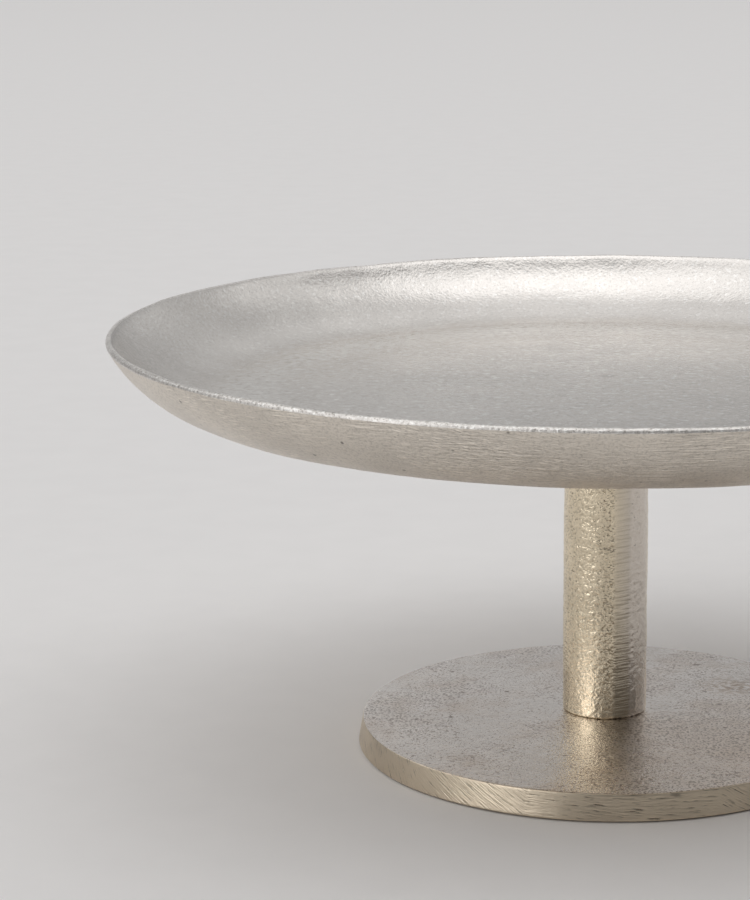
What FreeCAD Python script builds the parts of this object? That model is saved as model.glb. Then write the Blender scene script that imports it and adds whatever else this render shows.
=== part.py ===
import FreeCAD, Part
import math
import os
import Sketcher

# A footed paten plate: a shallow cast dish on a tubular stem and a disc base. One tie rod,
# screwed into the dish and held by a nut under the base, draws the three castings together.
# Four felt pads stand in a recess under the base and keep its edge just off the table.
#
# Millimetres, +Z up. The origin is on the table, at the centre of the base.

# Each driving dimension: its name, its size and what it measures.
SIZES = [
    ("dish_diameter", 300.0, "outside of the dish at its rim"),
    ("dish_depth", 22.3, "from the dish's flat underside to the top of its rim"),
    ("cast_wall", 2.8, "wall and floor of the dish"),
    ("side_radius", 40.4, "outside curve between the dish's flat underside and its rim"),
    ("rim_land", 0.9, "upright band outside the rim, above the curve"),
    ("rim_outer_rounding", 0.4, "broken edge outside the rim"),
    ("rim_inner_rounding", 0.8, "broken edge inside the rim"),
    ("dish_spigot_length", 8.0, "boss under the dish, inside the stem"),
    ("floor_over_hole", 2.0, "metal left between the tapped hole and the dish's floor"),
    ("stem_diameter", 25.5, "outside of the stem"),
    ("stem_wall", 3.25, "wall of the stem"),
    ("stem_length", 97.1, "stem between the base and the dish"),
    ("stem_edge_break", 0.4, "chamfer at both ends of the stem"),
    ("spigot_clearance", 0.1, "radial gap between a spigot and the stem's bore"),
    ("spigot_lead", 0.8, "chamfer that leads a spigot into the bore"),
    ("base_diameter", 152.0, "outside of the base at its lower edge"),
    ("base_flare", 1.4, "how far the base's edge spreads out from top to bottom"),
    ("base_edge_thickness", 7.8, "height of the base's edge"),
    ("base_rise", 1.9, "how far the base's top rises from its edge to the stem"),
    ("base_spigot_length", 5.0, "boss on the base, inside the stem"),
    ("seat_margin", 0.6, "flat seat left round the stem"),
    ("base_top_rounding", 0.5, "broken upper edge of the base"),
    ("base_bottom_rounding", 0.4, "broken lower edge of the base"),
    ("foot_ring_width", 8.0, "ring left round the recess under the base"),
    ("tool_well_diameter", 18.0, "well under the base for the nut and a socket spanner"),
    ("rod_diameter", 6.0, "tie rod, nominal thread size"),
    ("rod_end_chamfer", 0.6, "chamfer at both ends of the rod"),
    ("rod_end_gap", 0.8, "space left above the rod in its tapped hole"),
    ("rod_stick_out", 0.3, "rod standing out below the nut"),
    ("thread_clearance", 0.05, "radial gap between the rod and a tapped thread"),
    ("hole_clearance", 0.3, "radial gap between the rod and a plain hole"),
    ("washer_diameter", 12.0, "outside of the flat washer"),
    ("washer_thickness", 1.6, "flat washer"),
    ("spring_washer_diameter", 11.8, "outside of the spring washer"),
    ("spring_washer_thickness", 1.6, "spring washer, pressed flat"),
    ("spring_washer_slit", 1.2, "gap between the spring washer's ends"),
    ("nut_across_flats", 10.0, "thin hexagon nut"),
    ("nut_thickness", 3.2, "thin hexagon nut"),
    ("nut_corner_chamfer", 0.4, "how far the nut's turned corners come inside its flats"),
    ("pad_diameter", 14.0, "felt pad"),
    ("pad_thickness", 2.0, "felt pad"),
    ("pad_standoff", 0.5, "how far the pads lift the base's edge off the table"),
    ("pad_edge_gap", 3.0, "between a pad and the wall of its recess"),
]
PAD_COUNT = 4
FIRST_PAD_ANGLE = 45

DISH_RADIUS = "sizes.dish_diameter / 2"
STEM_RADIUS = "sizes.stem_diameter / 2"
BORE_RADIUS = f"({STEM_RADIUS} - sizes.stem_wall)"
SPIGOT_RADIUS = f"({BORE_RADIUS} - sizes.spigot_clearance)"
ROD_RADIUS = "sizes.rod_diameter / 2"
TAPPED_RADIUS = f"({ROD_RADIUS} + sizes.thread_clearance)"
HOLE_RADIUS = f"({ROD_RADIUS} + sizes.hole_clearance)"

# Heights above the table.
SEAT_HEIGHT = "(sizes.pad_standoff + sizes.base_edge_thickness + sizes.base_rise)"
UNDERSIDE_HEIGHT = f"({SEAT_HEIGHT} + sizes.stem_length)"
NUT_HEIGHT = "(sizes.pad_standoff + sizes.rod_stick_out)"
SPRING_WASHER_HEIGHT = f"({NUT_HEIGHT} + sizes.nut_thickness)"
WASHER_HEIGHT = f"({SPRING_WASHER_HEIGHT} + sizes.spring_washer_thickness)"
WELL_TOP_HEIGHT = f"({WASHER_HEIGHT} + sizes.washer_thickness)"

# The recess under the base and the circle of the pads in it.
RECESS_DEPTH = "(sizes.pad_thickness - sizes.pad_standoff)"
RECESS_RADIUS = "(sizes.base_diameter / 2 - sizes.foot_ring_width)"
PAD_CIRCLE_RADIUS = f"({RECESS_RADIUS} - sizes.pad_edge_gap - sizes.pad_diameter / 2)"

doc = FreeCAD.newDocument("paten_plate")
sheet = doc.addObject("Spreadsheet::Sheet", "sizes")
for row, (alias, size, meaning) in enumerate(SIZES, 1):
    sheet.set(f"A{row}", str(size))
    sheet.setAlias(f"A{row}", alias)
    sheet.set(f"B{row}", meaning)
doc.recompute()


def value(expression):
    """What an expression of the sheet's cells gives at present."""
    result = sheet.evalExpression(expression)
    return float(getattr(result, "Value", result))


def piece(label, height="0"):
    """An empty body whose own zero stands at this height above the table."""
    body = doc.addObject("PartDesign::Body", label)
    body.Label = label
    body.setExpression("Placement.Base.z", f"({height}) * 1mm")
    return body


def new_sketch(body, name, role):
    """An empty sketch on one of the body's own origin planes."""
    sketch = body.newObject("Sketcher::SketchObject", name)
    plane = next(item for item in body.Origin.OriginFeatures if item.Role == role)
    sketch.AttachmentSupport = [(plane, "")]
    sketch.MapMode = "FlatFace"
    return sketch


def bind(sketch, constraint, expression):
    """Adds a dimension to the sketch and binds it to an expression of the sheet's cells."""
    number = sketch.addConstraint(constraint)
    sketch.setExpression(f"Constraints[{number}]", expression)


def arc_between(start, end, radius, turn):
    """The short arc from start to end: turn is 1 for anticlockwise and -1 for clockwise."""
    chord = end - start
    middle = (start + end) * 0.5
    aside = FreeCAD.Vector(-chord.y, chord.x, 0) / chord.Length
    centre = middle + aside * turn * math.sqrt(radius**2 - (chord.Length / 2) ** 2)
    first, last = (start, end) if turn > 0 else (end, start)
    angles = [math.atan2(p.y - centre.y, p.x - centre.x) for p in (first, last)]
    circle = Part.Circle(centre, FreeCAD.Vector(0, 0, 1), radius)
    return Part.ArcOfCircle(circle, *angles)


def hold_corner(sketch, side, point, x, y):
    """Holds one corner at the place that two expressions give, or on an axis where one is 0."""
    for kind, expression, axis in (("DistanceX", x, -2), ("DistanceY", y, -1)):
        if expression == "0":
            sketch.addConstraint(Sketcher.Constraint("PointOnObject", side, point, axis))
        else:
            size = value(expression)
            bind(sketch, Sketcher.Constraint(kind, -1, 1, side, point, size), expression)


def add_outline(sketch, sides):
    """Adds a closed outline. Each side is the corner that it leads to, as two expressions, and
    an arc's side also has its radius and its turn. The first side starts from the last corner."""
    corners = [FreeCAD.Vector(value(side[0]), value(side[1]), 0) for side in sides]
    first_side = sketch.GeometryCount
    starts, ends = [], []
    for place, side in enumerate(sides):
        start, end = corners[place - 1], corners[place]
        turn = 1
        if len(side) == 2:
            number = sketch.addGeometry(Part.LineSegment(start, end))
        else:
            turn = side[3]
            number = sketch.addGeometry(arc_between(start, end, value(side[2]), turn))
        starts.append(1 if turn > 0 else 2)
        ends.append(2 if turn > 0 else 1)
    for place, side in enumerate(sides):
        number = first_side + place
        before = first_side + (place - 1) % len(sides)
        joined = (before, ends[place - 1], number, starts[place])
        sketch.addConstraint(Sketcher.Constraint("Coincident", *joined))
        hold_corner(sketch, number, ends[place], side[0], side[1])
        if len(side) > 2:
            radius = value(side[2])
            bind(sketch, Sketcher.Constraint("Radius", number, radius), side[2])


def add_circle(sketch, radius):
    """Adds a circle about the sketch's origin."""
    middle = FreeCAD.Vector(0, 0, 0)
    circle = Part.Circle(middle, FreeCAD.Vector(0, 0, 1), value(radius))
    number = sketch.addGeometry(circle)
    sketch.addConstraint(Sketcher.Constraint("Coincident", number, 3, -1, 1))
    bind(sketch, Sketcher.Constraint("Radius", number, value(radius)), radius)


def turn_outline(body, sides, feature="PartDesign::Revolution"):
    """Turns an outline about the body's Z axis: each corner is a radius and a height."""
    sketch = new_sketch(body, f"{body.Name}_profile", "XZ_Plane")
    add_outline(sketch, sides)
    turned = body.newObject(feature, f"{body.Name}_turned")
    turned.Profile = sketch
    turned.ReferenceAxis = (sketch, ["V_Axis"])
    turned.Angle = 360
    doc.recompute()
    return turned


def pad_sketch(body, sketch, thickness):
    """Raises a sketch of the XY plane to a thickness."""
    pad = body.newObject("PartDesign::Pad", f"{body.Name}_pad")
    pad.Profile = sketch
    pad.setExpression("Length", thickness)
    doc.recompute()
    return pad


def check_cut(body, before):
    """Stops if the last feature took nothing from a body that held this volume."""
    doc.recompute()
    if not body.Shape.Volume < before - 1e-6:
        raise RuntimeError(f"the last cut in {body.Label} took nothing away")


def round_edge(body, radius, height, rounding):
    """Fillets the circular edge of this radius at this height in the body's own frame."""
    base = body.Tip
    names = []
    for number, edge in enumerate(base.Shape.Edges, 1):
        curve = edge.Curve
        if not isinstance(curve, Part.Circle):
            continue
        off = abs(curve.Radius - value(radius)) + abs(curve.Center.z - value(height))
        if off < 1e-4:
            names.append(f"Edge{number}")
    if not names:
        raise RuntimeError(f"{body.Label} has no edge of radius {radius} at {height}")
    fillet = body.newObject("PartDesign::Fillet", f"{body.Name}_rounding")
    fillet.Base = (base, names)
    fillet.setExpression("Radius", rounding)
    doc.recompute()


def make_dish():
    """The dish: a flat floor, one round curve up to the rim and a tapped spigot below."""
    curve_height = "(sizes.dish_depth - sizes.rim_land)"
    curve_width = f"sqrt({curve_height} * (2 * sizes.side_radius - {curve_height}))"
    flat_radius = f"({DISH_RADIUS} - {curve_width})"
    inner_curve = "(sizes.side_radius - sizes.cast_wall)"
    rim_below_centre = "(sizes.side_radius - sizes.dish_depth)"
    mouth_radius = f"({flat_radius} + sqrt({inner_curve}^2 - {rim_below_centre}^2))"
    hole_top = "(sizes.cast_wall - sizes.floor_over_hole)"
    spigot_end = "(-sizes.dish_spigot_length)"
    body = piece("dish", UNDERSIDE_HEIGHT)
    turn_outline(
        body,
        [
            ("0", hole_top),
            (TAPPED_RADIUS, hole_top),
            (TAPPED_RADIUS, spigot_end),
            (f"{SPIGOT_RADIUS} - sizes.spigot_lead", spigot_end),
            (SPIGOT_RADIUS, f"{spigot_end} + sizes.spigot_lead"),
            (SPIGOT_RADIUS, "0"),
            (flat_radius, "0"),
            (DISH_RADIUS, curve_height, "sizes.side_radius", 1),
            (DISH_RADIUS, "sizes.dish_depth"),
            (mouth_radius, "sizes.dish_depth"),
            (flat_radius, "sizes.cast_wall", inner_curve, -1),
            ("0", "sizes.cast_wall"),
        ],
    )
    round_edge(body, DISH_RADIUS, "sizes.dish_depth", "sizes.rim_outer_rounding")
    round_edge(body, mouth_radius, "sizes.dish_depth", "sizes.rim_inner_rounding")
    return body


def make_stem():
    """The stem: a tube that stands on the base's seat and carries the dish."""
    edge = "sizes.stem_edge_break"
    top = "sizes.stem_length"
    body = piece("stem", SEAT_HEIGHT)
    turn_outline(
        body,
        [
            (f"{BORE_RADIUS} + {edge}", "0"),
            (f"{STEM_RADIUS} - {edge}", "0"),
            (STEM_RADIUS, edge),
            (STEM_RADIUS, f"{top} - {edge}"),
            (f"{STEM_RADIUS} - {edge}", top),
            (f"{BORE_RADIUS} + {edge}", top),
            (BORE_RADIUS, f"{top} - {edge}"),
            (BORE_RADIUS, edge),
        ],
    )
    return body


def make_base_plate():
    """The base: a disc with a spread edge and a slightly domed top, a spigot in the stem, a
    wide shallow recess below and a well for the nut at its centre."""
    bottom_radius = "sizes.base_diameter / 2"
    top_radius = f"({bottom_radius} - sizes.base_flare)"
    seat_radius = f"({STEM_RADIUS} + sizes.seat_margin)"
    edge_height = "sizes.base_edge_thickness"
    seat = f"({edge_height} + sizes.base_rise)"
    spigot_top = f"({seat} + sizes.base_spigot_length)"
    # The dome is part of a sphere whose centre is this far below the upper edge, on the axis.
    dome_drop = (
        f"(({top_radius}^2 - {seat_radius}^2 - sizes.base_rise^2) / (2 * sizes.base_rise))"
    )
    dome_radius = f"sqrt({top_radius}^2 + {dome_drop}^2)"
    well_radius = "sizes.tool_well_diameter / 2"
    well_top = f"({WELL_TOP_HEIGHT} - sizes.pad_standoff)"
    body = piece("base_plate", "sizes.pad_standoff")
    turn_outline(
        body,
        [
            (well_radius, RECESS_DEPTH),
            (RECESS_RADIUS, RECESS_DEPTH),
            (RECESS_RADIUS, "0"),
            (bottom_radius, "0"),
            (top_radius, edge_height),
            (seat_radius, seat, dome_radius, 1),
            (SPIGOT_RADIUS, seat),
            (SPIGOT_RADIUS, f"{spigot_top} - sizes.spigot_lead"),
            (f"{SPIGOT_RADIUS} - sizes.spigot_lead", spigot_top),
            (HOLE_RADIUS, spigot_top),
            (HOLE_RADIUS, well_top),
            (well_radius, well_top),
        ],
    )
    round_edge(body, top_radius, edge_height, "sizes.base_top_rounding")
    round_edge(body, bottom_radius, "0", "sizes.base_bottom_rounding")
    return body


def make_tie_rod():
    """The tie rod: from just below the nut up into the dish's tapped spigot."""
    chamfer = "sizes.rod_end_chamfer"
    hole_top = f"({UNDERSIDE_HEIGHT} + sizes.cast_wall - sizes.floor_over_hole)"
    length = f"({hole_top} - sizes.rod_end_gap - sizes.pad_standoff)"
    body = piece("tie_rod", "sizes.pad_standoff")
    turn_outline(
        body,
        [
            ("0", "0"),
            (f"{ROD_RADIUS} - {chamfer}", "0"),
            (ROD_RADIUS, chamfer),
            (ROD_RADIUS, f"{length} - {chamfer}"),
            (f"{ROD_RADIUS} - {chamfer}", length),
            ("0", length),
        ],
    )
    return body


def make_washer(label, height, diameter, thickness):
    """A plain round washer with the rod's clearance hole."""
    body = piece(label, height)
    sketch = new_sketch(body, f"{label}_outline", "XY_Plane")
    add_circle(sketch, f"{diameter} / 2")
    add_circle(sketch, HOLE_RADIUS)
    pad_sketch(body, sketch, thickness)
    return body


def make_spring_washer():
    """The spring washer, pressed flat: a ring with one slit."""
    outside = "sizes.spring_washer_diameter"
    thickness = "sizes.spring_washer_thickness"
    half_slit = "sizes.spring_washer_slit / 2"
    body = make_washer("spring_washer", SPRING_WASHER_HEIGHT, outside, thickness)
    before = body.Shape.Volume
    sketch = new_sketch(body, "spring_washer_slit", "XY_Plane")
    add_outline(
        sketch,
        [
            (ROD_RADIUS, f"-{half_slit}"),
            (outside, f"-{half_slit}"),
            (outside, half_slit),
            (ROD_RADIUS, half_slit),
        ],
    )
    slit = body.newObject("PartDesign::Pocket", "spring_washer_gap")
    slit.Profile = sketch
    slit.Reversed = True
    slit.setExpression("Length", f"2 * {thickness}")
    check_cut(body, before)
    return body


def make_nut():
    """The thin hexagon nut, its corners turned off at both faces."""
    flat = "sizes.nut_across_flats / 2"
    corner_radius = f"({flat} / cos(30 deg))"
    face_radius = f"({flat} - sizes.nut_corner_chamfer)"
    clear_radius = "sizes.nut_across_flats"
    chamfer_height = f"(({clear_radius} - {face_radius}) * tan(30 deg))"
    body = piece("hex_nut", NUT_HEIGHT)
    sketch = new_sketch(body, "hex_nut_outline", "XY_Plane")
    corners = []
    for number in range(6):
        angle = f"{30 + 60 * number} deg"
        # Two corners lie on the Y axis.
        x = "0" if number in (1, 4) else f"{corner_radius} * cos({angle})"
        corners.append((x, f"{corner_radius} * sin({angle})"))
    add_outline(sketch, corners)
    add_circle(sketch, TAPPED_RADIUS)
    pad_sketch(body, sketch, "sizes.nut_thickness")
    top = "sizes.nut_thickness"
    faces = (("0", chamfer_height), (top, f"{top} - {chamfer_height}"))
    for face, far_side in faces:
        before = body.Shape.Volume
        side = [(face_radius, face), (clear_radius, face), (clear_radius, far_side)]
        turn_outline(body, side, "PartDesign::Groove")
        check_cut(body, before)
    return body


def make_felt_pad(number):
    """One felt pad, glued in the recess and standing on the table."""
    angle = f"{FIRST_PAD_ANGLE + 360 / PAD_COUNT * number} deg"
    body = piece(f"felt_pad_{number + 1}")
    body.setExpression("Placement.Base.x", f"{PAD_CIRCLE_RADIUS} * cos({angle}) * 1mm")
    body.setExpression("Placement.Base.y", f"{PAD_CIRCLE_RADIUS} * sin({angle}) * 1mm")
    sketch = new_sketch(body, f"{body.Name}_outline", "XY_Plane")
    add_circle(sketch, "sizes.pad_diameter / 2")
    pad_sketch(body, sketch, "sizes.pad_thickness")
    return body


def check_and_write(pieces):
    """Stops at any failed object or bad solid, and then writes one file for each piece."""
    doc.recompute()
    for item in doc.Objects:
        if "Invalid" in item.State or "Error" in item.State:
            raise RuntimeError(f"{item.Label} failed: {item.State}")
    for body in pieces:
        shape = body.Shape
        if shape.isNull() or not shape.isValid() or len(shape.Solids) != 1:
            raise RuntimeError(f"{body.Label} isn't one valid solid")
    os.makedirs("parts", exist_ok=True)
    for body in pieces:
        body.Shape.exportStep(f"parts/{body.Label}.step")
        box = body.Shape.optimalBoundingBox()
        print(f"{body.Label}: {body.Shape.Volume:.1f} mm3, z {box.ZMin:.2f} to {box.ZMax:.2f}")


washer_sizes = ("sizes.washer_diameter", "sizes.washer_thickness")
pieces = [
    make_dish(),
    make_stem(),
    make_base_plate(),
    make_tie_rod(),
    make_washer("flat_washer", WASHER_HEIGHT, *washer_sizes),
    make_spring_washer(),
    make_nut(),
]
pieces += [make_felt_pad(number) for number in range(PAD_COUNT)]
check_and_write(pieces)
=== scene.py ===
import math

import bmesh
import bpy
import numpy as np
from bpy.props import FloatProperty, FloatVectorProperty, IntProperty, PointerProperty
from mathutils import Matrix, Vector, noise


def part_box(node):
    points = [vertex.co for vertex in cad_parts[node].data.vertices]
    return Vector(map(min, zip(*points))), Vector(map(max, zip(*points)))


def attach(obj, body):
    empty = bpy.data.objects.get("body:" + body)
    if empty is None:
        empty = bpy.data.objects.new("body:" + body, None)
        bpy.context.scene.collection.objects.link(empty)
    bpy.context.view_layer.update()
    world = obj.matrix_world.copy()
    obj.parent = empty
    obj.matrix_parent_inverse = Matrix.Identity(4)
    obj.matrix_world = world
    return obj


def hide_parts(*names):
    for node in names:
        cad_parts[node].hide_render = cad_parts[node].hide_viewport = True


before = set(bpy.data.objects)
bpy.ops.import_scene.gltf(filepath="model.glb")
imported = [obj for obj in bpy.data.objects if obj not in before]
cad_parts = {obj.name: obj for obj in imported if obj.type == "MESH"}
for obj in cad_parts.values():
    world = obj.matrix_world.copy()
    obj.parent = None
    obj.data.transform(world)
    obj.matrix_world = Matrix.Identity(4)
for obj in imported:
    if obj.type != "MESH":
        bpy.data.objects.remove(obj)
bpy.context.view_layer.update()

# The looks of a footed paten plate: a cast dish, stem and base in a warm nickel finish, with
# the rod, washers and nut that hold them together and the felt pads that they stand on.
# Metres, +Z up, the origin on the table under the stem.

MM = 0.001
TURN = 2 * math.pi

# A mesh's edges that turn more than this look sharp.
SHARP_ANGLE = math.radians(38)

# Sides round each turned mesh, and steps along the spring washer's wire and the nut's bore.
DISH_SIDES = 560
STEM_SIDES = 256
BASE_SIDES = 480
ROD_SIDES = 28
NUT_SIDES = 120
WASHER_SIDES = 96
PAD_SIDES = 72
WIRE_STEPS = 90
BORE_STEPS = 24

# Where each piece lies in the noise, so that no two castings are alike.
DISH_SHIFT = 3.7
BASE_SHIFT = 8.9
LUMP_SHIFT = 5.0
PAD_SHIFT = 2.2

# Colours that more than one finish uses.
BROWN = (0.62, 0.50, 0.40, 1.0)
DARK_BROWN = (0.27, 0.215, 0.185, 1.0)
# The next two are painted highlight colours: the glints and the pale reflection painted inside the
# dish, and the glints painted on the rim's land.
PAINTED_HIGHLIGHT = (0.93, 0.92, 0.90, 1.0)
GLINT = (0.96, 0.95, 0.92, 1.0)
WHITE = (1.0, 1.0, 1.0, 1.0)

bl_info = {
    "name": "Footed paten plate",
    "version": (1, 0, 0),
    "blender": (4, 5, 0),
    "location": "View3D > Sidebar > Paten plate",
    "description": "Makes the castings, fasteners, felt pads and stage of a footed paten plate",
    "category": "Object",
}


# --- Turned shapes ---------------------------------------------------------------------------


class Section:
    """Half the section of a turned piece, walked anticlockwise as radius and height. The
    stretch that leads to each point has a finish and a share of the casting's unevenness."""

    def __init__(self, radius, height):
        self.points = [np.array((radius, height), float)]
        self.finishes = [0]
        self.waves = [0.0]
        self.softness = [0.0]

    def add(self, point, finish, wave, soft=0.0):
        self.points.append(np.asarray(point, float))
        self.finishes.append(finish)
        self.waves.append(wave)
        self.softness.append(soft)

    def line(self, radius, height, finish=0, wave=0.0, step=None, soft=0.0):
        """A straight stretch. soft is how far its far corner's rounding reaches."""
        start, end = self.points[-1], np.array((radius, height), float)
        count = max(1, round(np.linalg.norm(end - start) / step)) if step else 1
        for number in range(1, count + 1):
            last = number == count
            self.add(start + (end - start) * number / count, finish, wave, soft if last else 0.0)

    def arc(self, centre, end, finish=0, wave=0.0, step=MM, soft=0.0):
        """A round stretch about centre, the short way to end."""
        centre, end = np.array(centre, float), np.array(end, float)
        from_centre = self.points[-1] - centre
        to_end = end - centre
        first = math.atan2(from_centre[1], from_centre[0])
        sweep = (math.atan2(to_end[1], to_end[0]) - first + math.pi) % TURN - math.pi
        size = np.linalg.norm(from_centre)
        count = max(2, round(abs(sweep) * size / step))
        for number in range(1, count):
            angle = first + sweep * number / count
            self.add(centre + size * np.array((math.cos(angle), math.sin(angle))), finish, wave)
        self.add(end, finish, wave, soft)

    def bend(self, corner, end, finishes, wave, steps=8):
        """A curve that leaves towards a corner and comes from it to end. Its first half has the
        first finish and the rest the second."""
        start, corner, end = self.points[-1], np.array(corner), np.array(end)
        for part in np.arange(1, steps + 1) / steps:
            point = (1 - part) ** 2 * start + 2 * part * (1 - part) * corner + part**2 * end
            self.add(point, finishes[0] if part < 0.5 else finishes[1], wave)

    def laid_out(self):
        """The points with their soft corners rounded, and each one's finish and wave."""
        points, finishes, waves = [], [], []
        closed = np.allclose(self.points[0], self.points[-1])
        last = len(self.points) - 1
        for place, point in enumerate(self.points):
            after = place + 1 if place < last else 1
            leaving = (self.finishes[min(after, last)], self.waves[min(after, last)])
            arriving = (self.finishes[place], self.waves[place])
            if not self.softness[place] or (place == last and not closed):
                points.append(point)
                finishes.append(arriving[0])
                waves.append((arriving[1] + leaving[1]) / 2)
                continue
            back = self.points[place - 1] - point
            ahead = self.points[after] - point
            reaches = [min(self.softness[place], 0.45 * np.linalg.norm(v)) for v in (back, ahead)]
            start = point + back / np.linalg.norm(back) * reaches[0]
            end = point + ahead / np.linalg.norm(ahead) * reaches[1]
            for part in (0, 0.25, 0.5, 0.75, 1):
                curve = (1 - part) ** 2 * start + 2 * part * (1 - part) * point + part**2 * end
                points.append(curve)
                finishes.append((arriving if part <= 0.5 else leaving)[0])
                waves.append(arriving[1] * (1 - part) + leaving[1] * part)
        if closed:
            points, finishes, waves = points[1:], finishes[1:], waves[1:]
        return np.array(points), np.array(finishes), np.array(waves), closed


def skin(name, radius, height, angles, finishes, closed):
    """A mesh over a grid of rings: radius and height have a row for each ring. Rings of no
    radius at either end shrink to one point, and closed joins the last ring to the first."""
    rings, sides = radius.shape
    grid = np.stack([radius * np.cos(angles), radius * np.sin(angles), height], axis=2)
    numbers = np.arange(rings * sides).reshape(rings, sides)
    vertices = grid.reshape(-1, 3)
    faces, slots = [], []
    for ring in range(rings if closed else rings - 1):
        after = (ring + 1) % rings
        a, b = numbers[ring], np.roll(numbers[ring], -1)
        d, c = numbers[after], np.roll(numbers[after], -1)
        if not closed and ring == 0 and not radius[0].any():
            strip = np.stack([np.full(sides, a[0]), c, d], axis=1)
        elif not closed and after == rings - 1 and not radius[-1].any():
            strip = np.stack([a, b, np.full(sides, d[0])], axis=1)
        else:
            strip = np.stack([a, b, c, d], axis=1)
        faces += strip.tolist()
        slots += [int(finishes[after])] * sides
    return mesh_object(name, vertices.tolist(), faces, slots)


def mesh_object(name, vertices, faces, slots=None):
    """A smooth mesh object in the scene, without the points that no face uses."""
    mesh = bpy.data.meshes.new(name)
    mesh.from_pydata(vertices, [], faces)
    if slots:
        mesh.polygons.foreach_set("material_index", slots)
    made = bpy.data.objects.new(name, mesh)
    bpy.context.scene.collection.objects.link(made)
    work = bmesh.new()
    work.from_mesh(mesh)
    loose = [vertex for vertex in work.verts if not vertex.link_faces]
    bmesh.ops.delete(work, geom=loose, context="VERTS")
    work.to_mesh(mesh)
    work.free()
    mesh.polygons.foreach_set("use_smooth", [True] * len(mesh.polygons))
    mesh.set_sharp_from_angle(angle=SHARP_ANGLE)
    mesh.update()
    return made


def turn(name, section, sides, uneven=None):
    """Turns a section about the Z axis. uneven(points, angles) gives how far each point stands
    out, in metres, and the section says how much of that each stretch takes."""
    points, finishes, waves, closed = section.laid_out()
    angles = np.arange(sides) * TURN / sides
    if closed:
        ahead, behind = np.roll(points, -1, axis=0), np.roll(points, 1, axis=0)
    else:
        ahead = np.vstack([points[1:], points[-1:]])
        behind = np.vstack([points[:1], points[:-1]])
    along = ahead - behind
    outward = np.stack([along[:, 1], -along[:, 0]], axis=1)
    outward /= np.maximum(np.linalg.norm(outward, axis=1, keepdims=True), 1e-12)
    radius = np.repeat(points[:, :1], sides, axis=1)
    height = np.repeat(points[:, 1:], sides, axis=1)
    if uneven:
        x, y = radius * np.cos(angles), radius * np.sin(angles)
        places = np.stack([x, y, height], axis=2).reshape(-1, 3)
        angle = np.tile(angles, len(points))
        away = uneven(places, angle).reshape(radius.shape) * waves[:, None]
        radius = np.where(radius > 0, radius + away * outward[:, :1], radius)
        height = height + away * outward[:, 1:]
    return skin(name, radius, height, angles, finishes, closed)


def swell(points, size, shift=0.0):
    """Smooth noise of about -1 to 1 at each point, with bumps of this size."""
    scaled = np.asarray(points) / size + shift
    return np.array([noise.noise(place) for place in scaled.tolist()]) * 2


# --- Finishes --------------------------------------------------------------------------------


class Tree:
    """The nodes of a material or of the world, while they are put together."""

    def __init__(self, owner):
        owner.use_nodes = True
        self.tree = owner.node_tree
        self.tree.nodes.clear()

    def node(self, kind, inputs=None, **settings):
        made = self.tree.nodes.new(kind)
        for setting, value in settings.items():
            setattr(made, setting, value)
        for key, value in (inputs or {}).items():
            self.feed(made.inputs[key], value)
        return made

    def feed(self, socket, value):
        """Links a socket to another one, or sets it to a plain value."""
        if isinstance(value, bpy.types.NodeSocket):
            self.tree.links.new(value, socket)
        else:
            socket.default_value = value

    def maths(self, operation, *values):
        return self.node("ShaderNodeMath", dict(enumerate(values)), operation=operation).outputs[0]

    def times(self, first, second):
        return self.maths("MULTIPLY", first, second)

    def away(self, value, middle):
        """How far a value is from middle."""
        return self.maths("ABSOLUTE", self.maths("SUBTRACT", value, middle))

    def split(self, vector):
        return self.node("ShaderNodeSeparateXYZ", {0: vector}).outputs


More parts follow.
